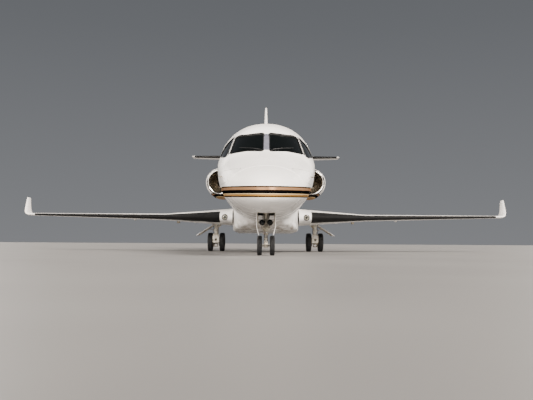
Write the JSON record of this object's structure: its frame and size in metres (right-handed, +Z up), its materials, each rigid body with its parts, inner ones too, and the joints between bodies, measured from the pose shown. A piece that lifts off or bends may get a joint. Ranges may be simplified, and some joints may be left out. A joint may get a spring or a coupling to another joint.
{
  "type": "business jet",
  "caption": "Twin-engined business jet parked on its gear: swept wing with winglets, rear engines, airstair door, hollow cabin, steered nose wheels and hinged control surfaces",
  "frame": {"origin": "on the ground, under the middle of the length and of the span", "axes": "+Z up, nose towards -Y, the jet's own left wing towards +X"},
  "size_m": [17.9108, 18.97, 6.32],
  "materials": {
    "white_skin": "gloss",
    "white_composite": "gloss",
    "boot": "satin",
    "glazing": "gloss",
    "inner_frame": "matte",
    "seat_leather": "satin",
    "engine_metal": "satin",
    "gear_metal": "satin",
    "rim_metal": "satin",
    "tyre": "matte"
  },
  "bodies": {
    "airframe": {"cockpit_shell": "white_skin", "cabin_shell": "white_skin", "aft_fuselage": "white_skin", "wing_left": "white_skin", "wing_right": "white_skin", "main_gear_door_left": "white_skin", "main_gear_door_right": "white_skin", "nose_gear_door_left": "white_skin", "nose_gear_door_right": "white_skin", "radome": "white_composite", "tail_cone": "white_composite", "belly_fairing": "white_composite", "fin": "white_composite", "tailplane": "white_composite", "winglet_left": "white_composite", "winglet_right": "white_composite", "nacelle_left": "white_composite", "nacelle_right": "white_composite", "pylon_left": "white_composite", "pylon_right": "white_composite", "leading_edge_left": "boot", "leading_edge_right": "boot", "windshield_left": "glazing", "windshield_right": "glazing", "side_window_left": "glazing", "side_window_right": "glazing", "cabin_floor": "inner_frame", "instrument_panel": "inner_frame", "crew_seat_left": "seat_leather", "crew_seat_right": "seat_leather", "cabin_seats_left": "seat_leather", "cabin_seats_right": "seat_leather", "engine_core_left": "engine_metal", "engine_core_right": "engine_metal", "nose_leg": "gear_metal", "main_leg_left": "gear_metal", "main_leg_right": "gear_metal"},
    "cabin_door": {"cabin_door": "white_skin"},
    "baggage_door": {"baggage_door": "white_skin"},
    "rudder": {"rudder": "white_composite"},
    "nose_steering": {"nose_fork": "gear_metal"},
    "nose_wheels": {"nose_rims": "rim_metal", "nose_tyre_left": "tyre", "nose_tyre_right": "tyre"},
    "elevator_left": {"elevator_left": "white_composite"},
    "aileron_left": {"aileron_left": "white_skin"},
    "flap_left": {"flap_left": "white_skin"},
    "fan_left": {"fan_left": "engine_metal"},
    "main_wheels_left": {"main_rims_left": "rim_metal", "main_tyre_inner_left": "tyre", "main_tyre_outer_left": "tyre"},
    "elevator_right": {"elevator_right": "white_composite"},
    "aileron_right": {"aileron_right": "white_skin"},
    "flap_right": {"flap_right": "white_skin"},
    "fan_right": {"fan_right": "engine_metal"},
    "main_wheels_right": {"main_rims_right": "rim_metal", "main_tyre_inner_right": "tyre", "main_tyre_outer_right": "tyre"}
  },
  "joints": [
    {"name": "nose_steering", "type": "hinge", "parent": "airframe", "child": "nose_steering", "pos_m": [0, -7.385, 0.5], "axis": [0, 0, 1], "range_deg": [-60, 60]},
    {"name": "nose_wheels", "type": "hinge", "parent": "nose_steering", "child": "nose_wheels", "pos_m": [0, -7.385, 0.222], "axis": [1, 0, 0], "continuous": true},
    {"name": "main_wheels_left", "type": "hinge", "parent": "airframe", "child": "main_wheels_left", "pos_m": [1.625, 0.075, 0.305], "axis": [1, 0, 0], "continuous": true},
    {"name": "main_wheels_right", "type": "hinge", "parent": "airframe", "child": "main_wheels_right", "pos_m": [-1.625, 0.075, 0.305], "axis": [1, 0, 0], "continuous": true},
    {"name": "fan_left", "type": "hinge", "parent": "airframe", "child": "fan_left", "pos_m": [1.72, 3.585, 2.55], "axis": [0, 1, 0], "continuous": true},
    {"name": "fan_right", "type": "hinge", "parent": "airframe", "child": "fan_right", "pos_m": [-1.72, 3.585, 2.55], "axis": [0, 1, 0], "continuous": true},
    {"name": "cabin_door", "type": "hinge", "parent": "airframe", "child": "cabin_door", "pos_m": [1.03882, -5.485, 1.4], "axis": [0.012, 0.9999, 0], "range_deg": [0, 130]},
    {"name": "baggage_door", "type": "hinge", "parent": "airframe", "child": "baggage_door", "pos_m": [0.95414, 2.765, 1.4], "axis": [-0.2094, 0.9778, 0], "range_deg": [0, 120]},
    {"name": "rudder", "type": "hinge", "parent": "airframe", "child": "rudder", "pos_m": [0, 7.57501, 4.42], "axis": [0, 0.3982, 0.9173], "range_deg": [-25, 25]},
    {"name": "elevator_left", "type": "hinge", "parent": "airframe", "child": "elevator_left", "pos_m": [0.44, 8.00449, 4.00333], "axis": [0.9222, 0.3804, 0.0699], "range_deg": [-20, 25]},
    {"name": "elevator_right", "type": "hinge", "parent": "airframe", "child": "elevator_right", "pos_m": [-0.44, 8.00449, 4.00333], "axis": [0.9222, -0.3804, -0.0699], "range_deg": [-20, 25]},
    {"name": "aileron_left", "type": "hinge", "parent": "airframe", "child": "aileron_left", "pos_m": [5.76, 1.8964, 1.19903], "axis": [0.934, 0.3561, 0.0287], "range_deg": [-20, 20]},
    {"name": "aileron_right", "type": "hinge", "parent": "airframe", "child": "aileron_right", "pos_m": [-5.76, 1.8964, 1.19903], "axis": [0.934, -0.3561, -0.0287], "range_deg": [-20, 20]},
    {"name": "flap_left", "type": "hinge", "parent": "airframe", "child": "flap_left", "pos_m": [1.465, 0.59065, 1.08762], "axis": [-0.9573, -0.288, -0.0246], "range_deg": [0, 40]},
    {"name": "flap_right", "type": "hinge", "parent": "airframe", "child": "flap_right", "pos_m": [-1.465, 0.59065, 1.08762], "axis": [-0.9573, 0.288, 0.0246], "range_deg": [0, 40]}
  ],
  "couplings": [
    {"joint": "elevator_right", "follows": "elevator_left", "ratio": 1},
    {"joint": "aileron_right", "follows": "aileron_left", "ratio": -1},
    {"joint": "flap_right", "follows": "flap_left", "ratio": 1}
  ]
}
